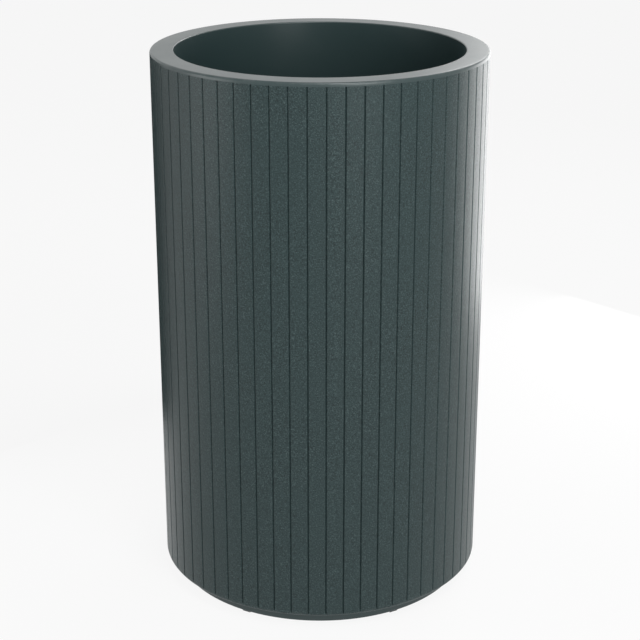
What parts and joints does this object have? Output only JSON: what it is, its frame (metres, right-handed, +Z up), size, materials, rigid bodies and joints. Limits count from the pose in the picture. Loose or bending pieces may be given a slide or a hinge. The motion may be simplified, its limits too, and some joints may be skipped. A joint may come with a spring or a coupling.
{
  "type": "tall round planter",
  "caption": "Tall round double-walled fibreglass planter with fine vertical grooves, a flat rim, a recessed foot, a lift-out shelf and plugged drain holes.",
  "frame": {"origin": "where the planter's axis meets the floor, at the bottom of its pads", "axes": "+Z up along the planter's axis, -Y towards the front of the picture"},
  "size_m": [0.457, 0.457, 0.762],
  "materials": {
    "grooved_wall": "matte",
    "smooth_liner": "satin",
    "foot_laminate": "satin",
    "floor_laminate": "matte",
    "bracket_laminate": "matte",
    "shelf_board": "matte",
    "pad_rubber": "matte",
    "plug_rubber": "matte"
  },
  "bodies": {
    "planter": {"outer_wall": "grooved_wall", "inner_liner": "smooth_liner", "base_panel": "floor_laminate", "foot_ring": "foot_laminate", "shelf_bracket_1": "bracket_laminate", "shelf_bracket_2": "bracket_laminate", "shelf_bracket_3": "bracket_laminate", "shelf_bracket_4": "bracket_laminate", "foot_pad_1": "pad_rubber", "foot_pad_2": "pad_rubber", "foot_pad_3": "pad_rubber", "foot_pad_4": "pad_rubber", "foot_pad_5": "pad_rubber", "foot_pad_6": "pad_rubber"},
    "shelf": {"shelf": "shelf_board"},
    "plug_1": {"drain_plug_1": "plug_rubber"},
    "plug_2": {"drain_plug_2": "plug_rubber"},
    "plug_3": {"drain_plug_3": "plug_rubber"}
  },
  "joints": [
    {"name": "shelf_lift", "type": "slide", "parent": "planter", "child": "shelf", "axis": [0, 0, 1], "range_m": [0, 0.4]},
    {"name": "plug_1_pull", "type": "slide", "parent": "planter", "child": "plug_1", "axis": [0, 0, 1], "range_m": [0, 0.06]},
    {"name": "plug_2_pull", "type": "slide", "parent": "planter", "child": "plug_2", "axis": [0, 0, 1], "range_m": [0, 0.06]},
    {"name": "plug_3_pull", "type": "slide", "parent": "planter", "child": "plug_3", "axis": [0, 0, 1], "range_m": [0, 0.06]}
  ]
}
